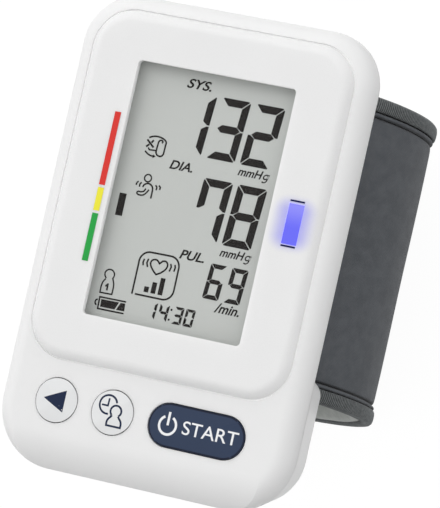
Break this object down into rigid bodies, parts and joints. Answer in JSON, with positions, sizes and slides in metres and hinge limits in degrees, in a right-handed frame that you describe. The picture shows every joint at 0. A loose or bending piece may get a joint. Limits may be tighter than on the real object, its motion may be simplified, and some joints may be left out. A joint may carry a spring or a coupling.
{
  "type": "wrist blood pressure monitor",
  "caption": "Wrist blood pressure monitor: display unit with raised panel, window and keys on a preformed fabric cuff with a peel-open strap and a sliding battery cover.",
  "frame": {"origin": "on the surface the cuff rests on, under the middle of the case's outline", "axes": "+X to the right of the display, +Y towards the display's top, +Z out of the display"},
  "size_m": [0.0596, 0.0886, 0.0638],
  "materials": {
    "case_white": "fine satin moulded",
    "clear_pane": "clear",
    "light_lens": "frosted, lit blue",
    "key_white": "satin",
    "key_navy": "satin",
    "lcd": "matt polariser",
    "inner_white": "moulded",
    "board_green": "solder mask",
    "board_parts": "mixed small parts",
    "black_plastic": "moulded",
    "steel": "plated",
    "rotor_brass": "turned, with copper wire",
    "copper_coil": "enamelled copper wire",
    "silicone": "translucent matt",
    "cell_jacket": "shrink film",
    "cuff_fabric": "fine brushed knit",
    "cuff_lining": "napped",
    "curler": "thin sheet",
    "bladder_film": "welded film",
    "binding_tape": "ribbed tape",
    "hook_tape": "hook side",
    "foam": "open foam"
  },
  "bodies": {
    "monitor": {"front_case": "case_white", "rear_case": "case_white", "face_panel": "case_white", "display_window": "clear_pane", "status_light_pipe": "light_lens", "switch_bases": "steel", "main_board": "board_green", "control_chip": "black_plastic", "board_parts": "board_parts", "status_led": "inner_white", "lcd_glass": "lcd", "lcd_frame": "inner_white", "lcd_connector_strips": "silicone", "buzzer": "black_plastic", "pressure_sensor": "inner_white", "air_manifold": "inner_white", "pump_tube": "silicone", "valve_tube": "silicone", "cuff_air_nipple": "inner_white", "pump_motor_can": "steel", "pump_motor_cap": "black_plastic", "pump_head": "inner_white", "pump_diaphragm": "silicone", "pump_cover": "inner_white", "valve_frame": "steel", "valve_coil": "copper_coil", "battery_cell_near": "cell_jacket", "battery_cell_far": "cell_jacket", "battery_springs": "steel", "battery_contacts": "steel", "case_screws": "steel", "cuff_plate": "inner_white", "cuff_screws": "steel", "cuff_fabric": "cuff_fabric", "cuff_curler": "curler", "cuff_foam": "foam", "cuff_bladder": "bladder_film", "cuff_lining": "cuff_lining", "far_binding": "binding_tape", "near_binding": "binding_tape", "strap_anchor": "cuff_fabric"},
    "memory_key": {"memory_button": "key_white", "memory_switch_plunger": "black_plastic"},
    "clock_key": {"clock_button": "key_white", "clock_switch_plunger": "black_plastic"},
    "start_key": {"start_button": "key_navy", "start_switch_plunger": "black_plastic"},
    "cover": {"battery_cover": "case_white"},
    "closure_strap": {"strap": "cuff_fabric", "strap_hook_tape": "hook_tape"},
    "rotor": {"pump_rotor": "rotor_brass"},
    "armature": {"valve_plunger": "steel"}
  },
  "joints": [
    {"name": "memory_press", "type": "slide", "parent": "monitor", "child": "memory_key", "axis": [0, 0, -1], "range_m": [0, 0.0004], "stiffness_N_per_m": 1500},
    {"name": "clock_press", "type": "slide", "parent": "monitor", "child": "clock_key", "axis": [0, 0, -1], "range_m": [0, 0.0004], "stiffness_N_per_m": 1500},
    {"name": "start_press", "type": "slide", "parent": "monitor", "child": "start_key", "axis": [0, 0, -1], "range_m": [0, 0.0004], "stiffness_N_per_m": 1500},
    {"name": "cover_slide", "type": "slide", "parent": "monitor", "child": "cover", "axis": [0, -1, 0], "range_m": [0, 0.022]},
    {"name": "strap_peel", "type": "hinge", "parent": "monitor", "child": "closure_strap", "pos_m": [-0.0261, 0.0062, 0.01124], "axis": [0, -1, 0], "range_deg": [0, 100]},
    {"name": "pump_spin", "type": "hinge", "parent": "monitor", "child": "rotor", "pos_m": [0.01858, 0.019, 0.0518], "axis": [0, 1, 0], "continuous": true},
    {"name": "valve_stroke", "type": "slide", "parent": "monitor", "child": "armature", "axis": [0, 1, 0], "range_m": [0, 0.0008], "stiffness_N_per_m": 100}
  ]
}
